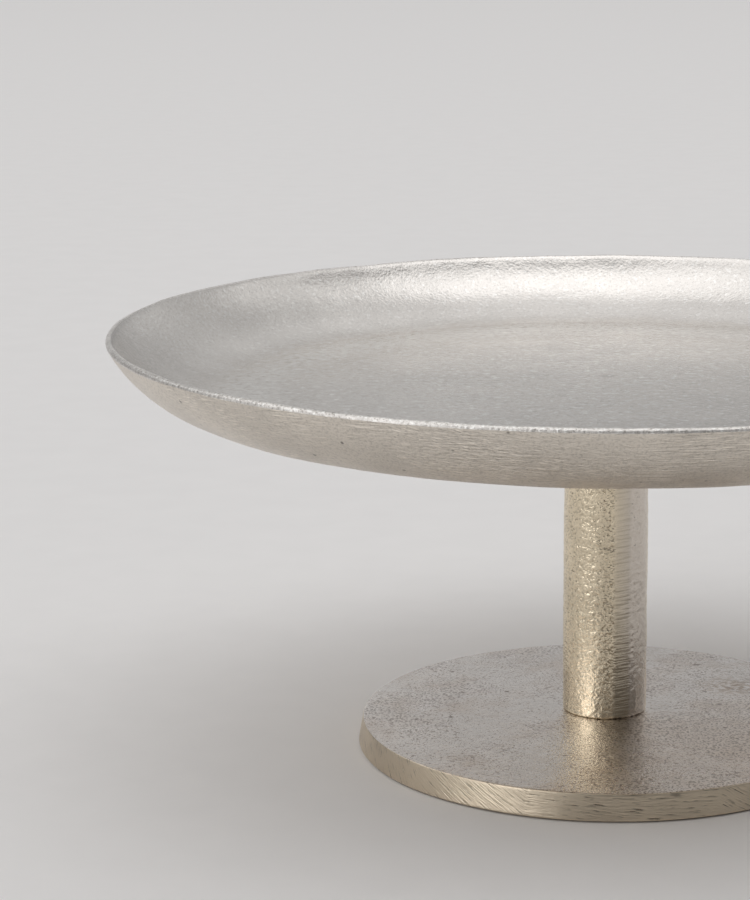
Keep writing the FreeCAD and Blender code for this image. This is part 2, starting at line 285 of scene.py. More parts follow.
class Finish(Tree):
    """A material that is being put together from nodes."""

    def __init__(self, name):
        self.material = bpy.data.materials.new(name)
        super().__init__(self.material)
        self.shader = self.node("ShaderNodeBsdfPrincipled")
        output = self.node("ShaderNodeOutputMaterial")
        self.feed(output.inputs["Surface"], self.shader.outputs["BSDF"])
        self.place = self.node("ShaderNodeTexCoord").outputs["Object"]

    def set(self, **values):
        for key, value in values.items():
            self.feed(self.shader.inputs[key.replace("_", " ")], value)

    def metal(self, colour, roughness, normal):
        """The finished material, as bare metal."""
        self.set(Base_Color=colour, Metallic=1.0, Roughness=roughness, Normal=normal)
        return self.material

    def noise(self, size, detail=2.0, roughness=0.5, distortion=0.0, place=None):
        """Smooth noise from 0 to 1, with bumps of this size."""
        inputs = {
            "Vector": self.place if place is None else place,
            "Scale": 1 / size,
            "Detail": detail,
            "Roughness": roughness,
            "Distortion": distortion,
        }
        return self.node("ShaderNodeTexNoise", inputs).outputs["Fac"]

    def cells(self, size):
        """How far each place is from the middle of its cell, for cells of this size."""
        inputs = {"Vector": self.place, "Scale": 1 / size, "Detail": 0.0}
        return self.node("ShaderNodeTexVoronoi", inputs).outputs["Distance"]

    def spread(self, value, low, high, to_low=0.0, to_high=1.0):
        """Stretches low to high over to_low to to_high, and holds it there outside."""
        inputs = {0: value, 1: low, 2: high, 3: to_low, 4: to_high}
        return self.node("ShaderNodeMapRange", inputs, clamp=True).outputs[0]

    def rougher(self, value, roughness, extra):
        """This roughness where value is low, and up to extra more where it is high."""
        return self.spread(value, 0.3, 0.7, roughness, roughness + extra)

    def between(self, share, first, second):
        """A colour between two colours."""
        inputs = {0: share, 6: first, 7: second}
        return self.node("ShaderNodeMix", inputs, data_type="RGBA").outputs[2]

    def combine(self, x, y, z):
        return self.node("ShaderNodeCombineXYZ", {0: x, 1: y, 2: z}).outputs[0]

    def round_about(self):
        """The surface unrolled round the Z axis: the angle from the front, in radians, the
        radius and the height."""
        x, y, z = self.split(self.place)
        angle = self.maths("ARCTAN2", x, self.times(y, -1.0))
        return angle, self.length(x, y), z

    def length(self, x, y):
        square = self.maths("MULTIPLY_ADD", x, x, self.times(y, y))
        return self.maths("SQRT", square)

    def scratches(self, along, across, length, width, slant, seed=0.0, detail=2.0):
        """Noise drawn out into strokes of this length and width. slant is their lean, in
        radians, from the along direction."""
        cosine, sine = math.cos(slant), math.sin(slant)
        u = self.maths("MULTIPLY_ADD", across, sine, self.times(along, cosine))
        v = self.maths("MULTIPLY_ADD", along, -sine, self.times(across, cosine))
        u = self.maths("DIVIDE", u, length)
        v = self.maths("DIVIDE", v, width)
        return self.noise(1.0, detail, roughness=0.6, place=self.combine(u, v, seed))

    def blend(self, share, first, second):
        """A number between two numbers."""
        inputs = {0: share, 2: first, 3: second}
        return self.node("ShaderNodeMix", inputs, data_type="FLOAT").outputs[0]

    def spot(self, centre, reach, soft):
        """1 near a place on the surface, seen from above, and 0 away from it."""
        sides = self.split(self.place)
        x = self.maths("SUBTRACT", sides[0], centre[0])
        y = self.maths("SUBTRACT", sides[1], centre[1])
        return self.spread(self.length(x, y), reach - soft, reach + soft, 1.0, 0.0)

    def bump(self, height, depth, normal=None):
        """Raises the surface by depth metres where height is 1."""
        inputs = {"Height": height, "Distance": depth, "Strength": 1.0}
        if normal is not None:
            inputs["Normal"] = normal
        return self.node("ShaderNodeBump", inputs).outputs["Normal"]


def shade(colour, amount):
    """The same colour, darker below an amount of 1 and lighter above it."""
    return (*[channel * amount for channel in colour[:3]], 1.0)


def metal_colour(finish, colour, variation=0.08, size=0.03):
    """The metal's colour, a little lighter and darker in soft patches."""
    patches = finish.noise(size, detail=3.0)
    share = finish.spread(patches, 0.35, 0.65)
    return finish.between(share, shade(colour, 1 - variation), shade(colour, 1 + variation / 2))


def satin_inside(look):
    """The dish's inside: a fine blasted casting, rubbed to a satin. The floor is rubbed down
    the most, and the turn at its edge the least. Its colour carries painted shade in the
    grain's hollows, painted glints on the floor and a painted reflection in a pale ring at
    the turn."""
    finish = Finish("dish_inside_satin")
    radius = finish.round_about()[1]
    fine = finish.noise(0.85 * MM, detail=2.5, roughness=0.6)
    coarse = finish.noise(2.4 * MM)
    broad = finish.noise(11 * MM)
    colour = metal_colour(finish, look.inside_colour, 0.05)
    # Painted shade: the fine grain's hollows are painted darker.
    hollow = finish.spread(fine, 0.32, 0.47, 0.35, 0.0)
    colour = finish.between(hollow, colour, shade(look.inside_colour, 0.62))
    # Painted highlights: small glints painted near white all over the inside.
    glint_noise = finish.noise(1.3 * MM)
    painted_glint = finish.spread(glint_noise, 0.56, 0.68, 0.0, 0.45)
    colour = finish.between(painted_glint, colour, PAINTED_HIGHLIGHT)
    # This noise sets the floor's painted glints, its darker patches and the painted reflection at
    # the turn.
    speckle_noise = finish.noise(2.4 * MM, detail=3.0, roughness=0.65)
    painted_floor_glint = finish.spread(speckle_noise, 0.58, 0.66, 0.0, 0.95)
    dull = finish.spread(speckle_noise, 0.34, 0.42, 0.35, 0.0)
    stain = finish.spot((0.0, 22 * MM), 2.4 * MM, 1.0 * MM)
    stain = finish.times(stain, 0.5)
    colour = finish.between(stain, colour, shade(look.inside_colour, 0.6))
    # Painted reflection: a pale ring at the floor's turn stands in for the wall's bright band
    # reflected in the floor, and lifts the shade in the crease.
    wavy = finish.maths("MULTIPLY_ADD", broad, 6 * MM, radius)
    from_turn = finish.away(wavy, look.turn_radius)
    at_turn = finish.spread(from_turn, 3 * MM, 14 * MM, 1.0, 0.0)
    painted_turn_reflection = finish.times(at_turn, finish.spread(speckle_noise, 0.42, 0.60, 0.3, 0.85))
    colour = finish.between(painted_turn_reflection, colour, PAINTED_HIGHLIGHT)
    level = finish.split(finish.node("ShaderNodeNewGeometry").outputs["Normal"])[2]
    flat = finish.spread(level, 0.98, 0.999)
    # Painted glints: patches of the flat floor are painted near white.
    colour = finish.between(finish.times(painted_floor_glint, flat), colour, PAINTED_HIGHLIGHT)
    dull = finish.times(dull, flat)
    colour = finish.between(dull, colour, shade(look.inside_colour, 0.6))
    share = finish.spread(level, 0.84, 0.91, 1.0, 0.2)
    share = finish.maths("MULTIPLY_ADD", at_turn, 0.5, share)
    normal = finish.bump(finish.times(broad, share), look.grain * 1.6)
    normal = finish.bump(finish.times(coarse, share), look.grain * 1.2, normal)
    fine_share = finish.maths("MAXIMUM", share, 0.42)
    normal = finish.bump(finish.times(fine, fine_share), look.grain * 1.8, normal)
    rough = finish.rougher(broad, look.inside_roughness, 0.05)
    return finish.metal(colour, rough, normal)


def broken_rim(look):
    """The rim's land: filed off over a rough casting, so that it glints. Its glints are painted
    on the chips' high points, with painted shade in their hollows.
    """
    finish = Finish("dish_rim_filed")
    colour = metal_colour(finish, look.inside_colour, 0.1, 4 * MM)
    chips = finish.noise(0.9 * MM, detail=3.0, roughness=0.7)
    # Painted shade: the chips' hollows are painted darker.
    dark = finish.spread(chips, 0.34, 0.46, 0.75, 0.0)
    colour = finish.between(dark, colour, shade(look.outside_colour, 0.4))
    # Painted highlights: the chips' high points are painted near white as glints.
    glint = finish.spread(chips, 0.54, 0.62, 0.0, 0.85)
    colour = finish.between(glint, colour, GLINT)
    normal = finish.bump(chips, look.grain * 4.0)
    return finish.metal(colour, 0.34, normal)


def linished_outside(look):
    """The dish's outside: belt-rubbed over the sand casting, with short strokes round it that
    come and go and lean one way and the other. The strokes carry painted highlights, and the
    sand's hollows painted shade."""
    finish = Finish("dish_outside_linished")
    angle, radius, height = finish.round_about()
    along = finish.times(angle, radius)
    path = finish.maths("MULTIPLY_ADD", radius, 0.5, height)
    wander = finish.noise(60 * MM, detail=1.0)
    leaning = finish.spread(wander, 0.44, 0.52)
    level = finish.scratches(along, path, 6 * MM, 0.45 * MM, 0.04)
    rising = finish.scratches(along, path, 4 * MM, 0.5 * MM, -0.25, seed=3.0)
    strokes = finish.blend(leaning, rising, level)
    long_strokes = finish.scratches(along, path, 18 * MM, 1.0 * MM, 0.02, seed=7.0)
    patches = finish.noise(32 * MM)
    rubbed = finish.spread(patches, 0.44, 0.6, 0.15, 1.0)
    sand = finish.noise(0.8 * MM, detail=3.0, roughness=0.65)
    pits = finish.cells(11 * MM)
    pit = finish.spread(pits, 0.03, 0.06, 1.0, 0.0)
    colour = metal_colour(finish, look.outside_colour, 0.08, 20 * MM)
    # Painted shade: the sand's hollows are painted darker.
    dark = finish.spread(sand, 0.36, 0.52, 0.4, 0.0)
    colour = finish.between(dark, colour, shade(look.outside_colour, 0.5))
    # Painted highlights: the rubbed strokes' high points are painted lighter, as glints.
    painted_glint_and_shade = finish.times(finish.spread(strokes, 0.53, 0.66, 0.0, 0.9), rubbed)
    colour = finish.between(painted_glint_and_shade, colour, shade(look.outside_colour, 1.36))
    colour = finish.between(pit, colour, shade(look.outside_colour, 0.3))
    normal = finish.bump(sand, look.grain * 2.2)
    strength = finish.times(long_strokes, rubbed)
    normal = finish.bump(strength, look.grain * 5.5, normal)
    strength = finish.times(strokes, finish.spread(rubbed, 0.15, 1.0, 0.6, 1.0))
    normal = finish.bump(strength, look.grain * 4.5, normal)
    rough = finish.rougher(strokes, look.outside_roughness, 0.1)
    return finish.metal(colour, rough, normal)


def sand_cast_stem(look):
    """The stem: a coarse, shining sand grain, and a filed strip with ribs across it. Its colour
    carries a painted highlight at the foot, a painted reflection on the smoother side past the
    strip, a painted dark reflection down the strip, and painted shade in the grain's hollows and
    the ribs' grooves.
    """
    finish = Finish("stem_sand_cast")
    angle, radius, height = finish.round_about()
    grain = finish.noise(0.85 * MM, detail=1.5, roughness=0.5)
    lumps = finish.noise(1.7 * MM)
    off = finish.away(angle, look.strip_angle)
    half = look.strip_width / 2
    strip = finish.spread(off, half - 0.04, half + 0.06, 1.0, 0.0)
    along = finish.times(angle, radius)
    ribs = finish.scratches(along, height, 9 * MM, 0.62 * MM, 0.08, detail=0.5)
    low_half = finish.spread(height, 20 * MM, 75 * MM, 1.0, 0.35)
    ribbed = finish.times(strip, low_half)
    off_side = finish.away(angle, look.filed_side)
    past = finish.spread(off_side, 0.3, 0.75, 1.0, 0.0)
    rough_part = finish.maths("SUBTRACT", 1.0, finish.times(past, 0.55))
    sandy = finish.times(finish.maths("SUBTRACT", 1.0, strip), rough_part)
    foot = finish.spread(height, 14 * MM, 42 * MM, 1.0, 0.0)
    sandy = finish.times(sandy, finish.spread(foot, 0.0, 1.0, 1.0, 0.6))
    colour = metal_colour(finish, look.colour, 0.08, 10 * MM)
    # Painted highlight: the stem's foot is painted lighter, standing in for the light that the
    # base's top throws up onto it.
    painted_foot_highlight = finish.times(foot, finish.maths("SUBTRACT", 1.0, strip))
    colour = finish.between(painted_foot_highlight, colour, shade(look.colour, 1.2))
    # Painted reflection: the smoother side past the strip is painted a cooler colour, standing in
    # for the neutral room that it reflects.
    colour = finish.between(past, colour, (*look.side_reflection_colour, 1.0))
    # Painted shade: the sand grain's hollows and the ribs' grooves are painted darker.
    hollow = finish.times(finish.spread(grain, 0.34, 0.48, 0.5, 0.0), sandy)
    colour = finish.between(hollow, colour, shade(look.colour, 0.48))
    groove = finish.times(finish.spread(ribs, 0.38, 0.5, 0.8, 0.0), ribbed)
    colour = finish.between(groove, colour, shade(look.colour, 0.38))
    # Painted dark reflection: the strip is painted darker, most of all low down, standing in for
    # the shaded base top reflected in it.
    painted_dark_reflection = finish.times(strip, finish.spread(foot, 0.0, 1.0, 0.3, 0.75))
    colour = finish.between(painted_dark_reflection, colour, shade(look.colour, 0.45))
    normal = finish.bump(finish.times(lumps, sandy), look.grain * 3.0)
    normal = finish.bump(finish.times(grain, sandy), look.grain * 3.2, normal)
    normal = finish.bump(finish.times(ribs, ribbed), look.grain * 2.4, normal)
    return finish.metal(colour, look.roughness, normal)


def sand_cast_top(look):
    """The base's top: a fine open sand grain with dark pits, thicker in patches, and painted
    shade towards the right front.
    """
    finish = Finish("base_top_sand_cast")
    grain = finish.noise(0.75 * MM, detail=2.5, roughness=0.6)
    lumps = finish.noise(2.0 * MM)
    crowd = finish.noise(26 * MM, detail=3.0)
    edge = finish.spread(crowd, 0.4, 0.6, 0.41, 0.49)
    pit = finish.maths("SUBTRACT", edge, grain)
    pit = finish.spread(pit, 0.0, 0.06, 0.0, 0.75)
    holes = finish.cells(9 * MM)
    hole = finish.spread(finish.maths("MULTIPLY_ADD", lumps, 0.25, holes), 0.17, 0.22, 0.9, 0.0)
    colour = metal_colour(finish, look.top_colour, 0.07, 30 * MM)
    tarnish = finish.noise(17 * MM, detail=4.0, roughness=0.6)
    colour = finish.between(finish.spread(tarnish, 0.45, 0.7, 0.0, 0.4), colour, BROWN)
    # Painted shade: the top is painted darker and browner towards the right front, where the stem
    # and dish shade it.
    painted_glint_and_shade = finish.times(finish.spot((47 * MM, -36 * MM), 28 * MM, 18 * MM), 0.35)
    colour = finish.between(painted_glint_and_shade, colour, BROWN)
    colour = finish.between(pit, colour, DARK_BROWN)
    colour = finish.between(hole, colour, DARK_BROWN)
    stain = finish.spot((40 * MM, 26 * MM), 8 * MM, 5 * MM)
    stain = finish.times(stain, finish.spread(lumps, 0.4, 0.6))
    colour = finish.between(stain, colour, shade(BROWN, 0.8))
    normal = finish.bump(lumps, look.grain * 1.5)
    normal = finish.bump(grain, look.grain * 3.0, normal)
    normal = finish.bump(hole, look.grain * -1.0, normal)
    rough = finish.rougher(crowd, look.top_roughness, 0.08)
    return finish.metal(colour, rough, normal)


def linished_edge(look):
    """The base's edge: rubbed on a belt in passes, steep in some and level in others, with
    painted shade in the strokes' grooves.
    """
    finish = Finish("base_edge_linished")
    angle, radius, height = finish.round_about()
    along = finish.times(angle, radius)
    turned = finish.maths("SUBTRACT", angle, look.belt_start)
    passes = finish.maths("COSINE", finish.times(turned, look.belt_passes))
    wobble = finish.noise(20 * MM, detail=1.0)
    passes = finish.maths("MULTIPLY_ADD", wobble, 0.3, passes)
    is_level = finish.spread(passes, 0.54, 0.58)
    is_steep = finish.spread(passes, -0.7, -0.64, 1.0, 0.0)
    level = finish.scratches(along, height, 6 * MM, 0.6 * MM, -0.06)
    leaning = finish.scratches(along, height, 7 * MM, 0.5 * MM, -0.5, seed=2.0)
    steep = finish.scratches(along, height, 6 * MM, 0.5 * MM, -0.95, seed=4.0)
    strokes = finish.blend(is_level, finish.blend(is_steep, leaning, steep), level)
    sand = finish.noise(0.8 * MM)
    colour = metal_colour(finish, look.edge_colour, 0.08, 20 * MM)
    # Painted shade: the strokes' grooves are painted darker.
    gouge = finish.spread(strokes, 0.34, 0.42, 0.8, 0.0)
    colour = finish.between(gouge, colour, shade(look.edge_colour, 0.35))
    normal = finish.bump(sand, look.grain * 0.5)
    normal = finish.bump(strokes, look.grain * 2.2, normal)
    rough = finish.rougher(strokes, look.edge_roughness, 0.1)
    return finish.metal(colour, rough, normal)


def turned_metal(name, colour, roughness):
    """Faces cut on the lathe: fine rings round the axis."""
    finish = Finish(name)
    path = finish.maths("ADD", *finish.round_about()[1:])
    rings = finish.noise(0.6 * MM, detail=1.0, place=finish.combine(path, 0.0, 0.0))
    sand = finish.noise(1.2 * MM)
    tone = metal_colour(finish, colour, 0.06, 20 * MM)
    normal = finish.bump(rings, 0.03 * MM)
    normal = finish.bump(sand, 0.02 * MM, normal)
    rough = finish.rougher(rings, roughness, 0.12)
    return finish.metal(tone, rough, normal)


def zinc_plate(look):
    """Bright zinc plating with a faint bloom."""
    finish = Finish("zinc_plate")
    bloom = finish.noise(2 * MM, detail=3.0)
    share = finish.spread(bloom, 0.35, 0.7)
    colour = finish.between(share, shade(look.colour, 1.0), shade(look.colour, 0.78))
    rough = finish.spread(bloom, 0.3, 0.7, 0.22, 0.38)
    normal = finish.bump(finish.noise(0.4 * MM), 0.008 * MM)
    return finish.metal(colour, rough, normal)


def pressed_felt(look):
    """Pressed felt: matted fibres, darker in the hollows."""
    finish = Finish("pressed_felt")
    fibres = finish.noise(0.4 * MM, detail=4.0, roughness=0.7, distortion=1.5)
    mats = finish.noise(2 * MM)
    share = finish.spread(fibres, 0.3, 0.7)
    colour = finish.between(share, shade(look.colour, 0.6), shade(look.colour, 1.4))
    normal = finish.bump(mats, 0.2 * MM)
    normal = finish.bump(fibres, 0.16 * MM, normal)
    rough = finish.spread(mats, 0.3, 0.7, 0.88, 1.0)
    finish.set(Base_Color=colour, Roughness=rough, Normal=normal)
    finish.set(Sheen_Weight=0.4, Sheen_Roughness=0.6)
    return finish.material


def stage_paper(look):
    """The stage's paper: matte, with a hardly visible tooth, and painted shade that makes it a
    little darker far away.
    """
    finish = Finish("stage_paper")
    tooth = finish.noise(20 * MM, detail=4.0)
    share = finish.spread(tooth, 0.3, 0.7)
    # Painted shade: the paper darkens between 1.2 and 5.5 metres out.
    away = finish.spread(finish.round_about()[1], 1.2, 5.5)
    near = finish.between(share, shade(look.floor_colour, 0.99), shade(look.floor_colour, 1.01))
    colour = finish.between(away, near, shade(look.floor_colour, 0.93))
    finish.set(Base_Color=colour, Roughness=0.9)
    return finish.material


# --- Settings --------------------------------------------------------------------------------


def size_of(name, millimetres, description):
    return FloatProperty(
        name=name,
        description=description,
        default=millimetres * MM,
        min=0.0,
        precision=5,
        unit="LENGTH",
    )


def colour_of(name, colour, description):
    return FloatVectorProperty(
        name=name, description=description, default=colour, min=0.0, max=1.0, subtype="COLOR"
    )


def number_of(name, value, description):
    return FloatProperty(name=name, description=description, default=value, precision=3)


def angle_of(name, degrees, description):
    return FloatProperty(
        name=name, description=description, default=math.radians(degrees), unit="ROTATION"
    )


class PATEN_PG_casting(bpy.types.PropertyGroup):
    """How uneven the sand castings are."""

    wave_height: size_of("Wave height", 0.10, "How far long waves stand out of a cast face")
    wave_length: size_of("Wave length", 22.0, "Length of the long waves")
    lump_height: size_of("Lump height", 0.03, "How far small lumps stand out of a cast face")
    lump_length: size_of("Lump length", 4.5, "Length of the small lumps")


class PATEN_PG_dish(bpy.types.PropertyGroup):
    """The dish."""

    wall: size_of("Wall", 2.8, "Thickness of the dish")
    side_radius: size_of("Side radius", 40.4, "Radius of the outside curve up to the rim")
    rim_land: size_of("Rim land", 1.25, "Upright band outside the rim")
    rim_round: size_of("Rim round", 1.2, "Rounding of the rim's outer edge")
    lip: size_of("Lip", 1.6, "Rounding of the rim's inner edge, down the inside")
    rim_thinning: size_of("Rim thinning", 0.5, "How much thinner the wall is at the rim")
    spigot_radius: size_of("Spigot radius", 9.4, "Boss inside the stem")
    spigot_lead: size_of("Spigot lead", 0.8, "Chamfer at the end of the boss")
    hole_radius: size_of("Hole radius", 3.05, "Tapped hole for the rod")
    hole_roof: size_of("Hole roof", 2.0, "Metal left over the tapped hole")
    faced_radius: size_of("Faced radius", 16.0, "Turned face under the dish, for the stem")
    even_radius: size_of("Even radius", 30.0, "How far out the underside stays more even")
    turn_softness: size_of("Turn softness", 6.0, "How far out the floor's turn is eased")
    # The ring at this radius has a coarser grain, and its paleness is a painted reflection.
    turn_radius: size_of("Turn radius", 112.0, "Middle of the grainy ring that the rubbing left")
    inside_colour: colour_of("Inside colour", (0.775, 0.742, 0.708), "Colour inside the dish")
    outside_colour: colour_of("Outside colour", (0.765, 0.71, 0.635), "Colour outside the dish")
    grain: size_of("Grain", 0.07, "Depth of the casting's grain")
    inside_roughness: number_of("Inside roughness", 0.22, "Roughness inside the dish")
    outside_roughness: number_of("Outside roughness", 0.32, "Roughness outside the dish")


class PATEN_PG_stem(bpy.types.PropertyGroup):
    """The stem."""

    wall: size_of("Wall", 3.25, "Wall of the tube")
    edge_break: size_of("Edge break", 0.7, "Rounding of the foot and chamfers of the ends")
    grain_height: size_of("Grain height", 0.055, "How far the sand grain stands out")
    colour: colour_of("Colour", (0.84, 0.73, 0.55), "Colour of the stem")
    # Painted reflection colour for the smoother side past the strip.
    side_reflection_colour: colour_of("Filed colour", (0.68, 0.62, 0.555), "Colour beside the filed strip")
    grain: size_of("Grain", 0.07, "Depth of the casting's grain")
    roughness: number_of("Roughness", 0.25, "Roughness of the stem")
    strip_angle: angle_of("Strip angle", 24.5, "Place of the filed strip, from the front")
    strip_width: angle_of("Strip width", 21.0, "Width of the filed strip")
    filed_side: angle_of("Filed side", 51.566, "Middle of the smoother side beside the strip")


class PATEN_PG_base(bpy.types.PropertyGroup):
    """The base."""

    flare: size_of("Flare", 1.4, "How far the edge spreads out from top to bottom")
    edge_height: size_of("Edge height", 7.8, "Height of the base's edge")
    seat_margin: size_of("Seat margin", 0.6, "Flat seat left round the stem")
    ring_width: size_of("Ring width", 8.0, "Ring round the recess under the base")
    recess_depth: size_of("Recess depth", 1.5, "Depth of the recess under the base")
    well_radius: size_of("Well radius", 9.0, "Well for the nut under the base")
    spigot_radius: size_of("Spigot radius", 9.4, "Boss inside the stem")
    spigot_lead: size_of("Spigot lead", 0.8, "Chamfer at the end of the boss")
    hole_radius: size_of("Hole radius", 3.3, "Clearance hole for the rod")
    top_colour: colour_of("Top colour", (0.86, 0.81, 0.77), "Colour of the base's top")
    edge_colour: colour_of("Edge colour", (0.72, 0.62, 0.485), "Colour of the base's edge")
    belt_start: angle_of("Belt start", 5.0, "Middle of the first level pass of the belt")
    belt_passes: IntProperty(name="Belt passes", description="Level passes round", default=3)
    grain: size_of("Grain", 0.07, "Depth of the casting's grain")
    top_roughness: number_of("Top roughness", 0.22, "Roughness of the base's top")
    edge_roughness: number_of("Edge roughness", 0.27, "Roughness of the base's edge")


class PATEN_PG_fasteners(bpy.types.PropertyGroup):
    """The rod, washers and nut."""

    pitch: size_of("Pitch", 1.0, "Pitch of the rod's thread")
    thread_depth: size_of("Thread depth", 0.55, "Depth of the rod's thread")
    across_flats: size_of("Across flats", 10.0, "Width of the nut")
    slit: size_of("Slit", 1.2, "Gap between the spring washer's ends")
    colour: colour_of("Colour", (0.62, 0.63, 0.65), "Colour of the zinc plating")


class PATEN_PG_pads(bpy.types.PropertyGroup):
    """The felt pads."""

    soft_edge: size_of("Soft edge", 0.5, "How far the pads' edges are rounded")
    fuzz: size_of("Fuzz", 0.06, "How far the felt's surface wanders")
    colour: colour_of("Colour", (0.06, 0.058, 0.055), "Colour of the felt")


class PATEN_PG_stage(bpy.types.PropertyGroup):
    """The floor, lights and camera."""

    floor_size: FloatProperty(
        name="Floor size", description="Side of the floor", default=40.0, unit="LENGTH"
    )
    floor_colour: colour_of("Floor colour", (0.845, 0.829, 0.822), "Colour of the floor")
    camera_distance: size_of("Camera distance", 798.3, "From the stem's axis to the camera")
    camera_height: size_of("Camera height", 265.9, "From the table to the camera")
    camera_turn: angle_of("Camera turn", 5.039, "How far the camera looks left of the stem")
    camera_dip: angle_of("Camera dip", 12.323, "How far the camera looks down")
    camera_roll: angle_of("Camera roll", -0.545, "How far the camera leans")
    focal_length: number_of("Focal length", 107.54, "Lens, in millimetres on a 36 mm sensor")


class PATEN_PG_plate(bpy.types.PropertyGroup):
    """All settings of the paten plate."""

    casting: PointerProperty(type=PATEN_PG_casting, name="Casting")
    dish: PointerProperty(type=PATEN_PG_dish, name="Dish")
    stem: PointerProperty(type=PATEN_PG_stem, name="Stem")
    base: PointerProperty(type=PATEN_PG_base, name="Base")
    fasteners: PointerProperty(type=PATEN_PG_fasteners, name="Fasteners")
    pads: PointerProperty(type=PATEN_PG_pads, name="Pads")
    stage: PointerProperty(type=PATEN_PG_stage, name="Stage")


# --- Pieces ----------------------------------------------------------------------------------


def finish_piece(piece, node, materials):
    """Gives a piece its materials, hides the CAD node that it stands for, and hangs it under
    the root body.
    """
    for material in materials:
        piece.data.materials.append(material)
    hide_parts(node)
    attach(piece, "root")


def cast_waves(casting, shift):
    """How far a cast face wanders, as a function for turn."""

    def uneven(points, angles):
        waves = swell(points, casting.wave_length, shift) * casting.wave_height
        lumps = swell(points, casting.lump_length, shift + LUMP_SHIFT) * casting.lump_height
        return waves + lumps

    return uneven


def make_dish(settings):
    dish = settings.dish
    low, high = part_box("dish")
    rim = high.z
    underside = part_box("stem")[1].z
    radius = (high.x - low.x) / 2
    curve_height = rim - underside - dish.rim_land
    curve_width = math.sqrt(curve_height * (2 * dish.side_radius - curve_height))
    flat = radius - curve_width
    centre = (flat, underside + dish.side_radius)
    floor = underside + dish.wall
    inner = dish.side_radius - dish.wall
    mouth = flat + math.sqrt(inner**2 - (centre[1] - rim) ** 2) + dish.rim_thinning
    depth = rim - floor
    inner = ((mouth - flat) ** 2 + depth**2) / (2 * depth)
    bowl = (flat, floor + inner)
    hole_top = floor - dish.hole_roof
    lead = dish.spigot_lead
    rim_round = dish.rim_round
    turning = (radius - rim_round, rim - rim_round)
    outside, edge, inside, turned = range(4)
    section = Section(0.0, hole_top)
    section.line(dish.hole_radius, hole_top, turned)
    section.line(dish.hole_radius, low.z, turned)
    section.line(dish.spigot_radius - lead, low.z, turned)
    section.line(dish.spigot_radius, low.z + lead, turned)
    section.line(dish.spigot_radius, underside, turned)
    section.line(dish.faced_radius, underside, turned)
    section.line(dish.even_radius, underside, outside, wave=0.3, step=3 * MM)
    section.line(flat, underside, outside, wave=1.0, step=3 * MM)
    section.arc(centre, (radius, rim - dish.rim_land), outside, wave=1.0, step=1.5 * MM)
    section.line(radius, rim - rim_round, edge, wave=1.2)
    section.arc(turning, (radius - rim_round, rim), edge, wave=1.5, step=0.25 * MM)
    lip_angle = math.atan2(rim - bowl[1], mouth - bowl[0]) - dish.lip / inner
    lip_end = (bowl[0] + inner * math.cos(lip_angle), bowl[1] + inner * math.sin(lip_angle))
    section.bend((mouth + 0.2 * MM, rim), lip_end, (edge, inside), wave=1.3)
    soft = dish.turn_softness
    upright = math.sqrt(inner**2 - soft**2)
    rise = inner - upright
    section.arc(bowl, (flat + soft, floor + rise), inside, wave=1.0, step=1.5 * MM)
    corner = (flat + soft - rise * upright / soft, floor)
    section.bend(corner, (flat - 2 * soft, floor), (inside, inside), wave=1.0, steps=10)
    section.line(0.0, floor, inside, wave=0.5, step=3 * MM)
    piece = turn("dish_casting", section, DISH_SIDES, cast_waves(settings.casting, DISH_SHIFT))
    materials = [linished_outside(dish), broken_rim(dish), satin_inside(dish)]
    materials.append(turned_metal("dish_spigot_turned", dish.outside_colour, 0.25))
    finish_piece(piece, "dish", materials)


def make_stem(settings):
    stem = settings.stem
    low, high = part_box("stem")
    radius = (high.x - low.x) / 2
    bore = radius - stem.wall
    edge = stem.edge_break
    foot = (radius - edge, low.z + edge)
    cast, turned = range(2)
    section = Section(bore, low.z + edge)
    section.line(bore + edge, low.z, turned)
    section.line(radius - edge, low.z, turned)
    section.arc(foot, (radius, low.z + edge), cast, wave=0.6, step=0.25 * MM)
    section.line(radius, high.z - edge, cast, wave=1.0, step=0.37 * MM)
    section.line(radius - edge, high.z, cast)
    section.line(bore + edge, high.z, turned)
    section.line(bore, high.z - edge, turned)
    section.line(bore, low.z + edge, turned)

    def uneven(points, angles):
        """Sand grain all round, but for the filed strip, which is ribbed instead."""
        from_front = (angles + TURN / 4 + math.pi) % TURN - math.pi
        off = np.abs(from_front - stem.strip_angle)
        fade = 0.12
        strip = 1 - np.clip((off - stem.strip_width / 2) / fade + 0.5, 0, 1)
        waves = swell(points, size=14 * MM, shift=1.3) * 0.08 * MM
        grain = swell(points, size=1.5 * MM, shift=9.1) * stem.grain_height
        grain += swell(points, size=0.9 * MM, shift=4.4) * stem.grain_height * 0.5
        heights = points[:, 2]
        squeeze = 0.12
        drawn = np.stack([from_front * radius * squeeze, heights, np.full(len(points), 0.4)], 1)
        low_half = np.interp(heights, (20 * MM, 75 * MM), (1.0, 0.4))
        ribs = swell(drawn, size=0.8 * MM, shift=2.8) * stem.grain_height * 0.4 * low_half
        deepest = 0.25 * MM
        flat = radius * (np.cos(stem.strip_width / 2) / np.maximum(np.cos(off), 0.1) - 1)
        flat = np.clip(flat, -deepest, 0) * 0.5
        return waves + grain * (1 - strip) + (ribs + flat) * strip

    piece = turn("stem_casting", section, STEM_SIDES, uneven)
    materials = [sand_cast_stem(stem), turned_metal("stem_ends_turned", stem.colour, 0.25)]
    finish_piece(piece, "stem", materials)


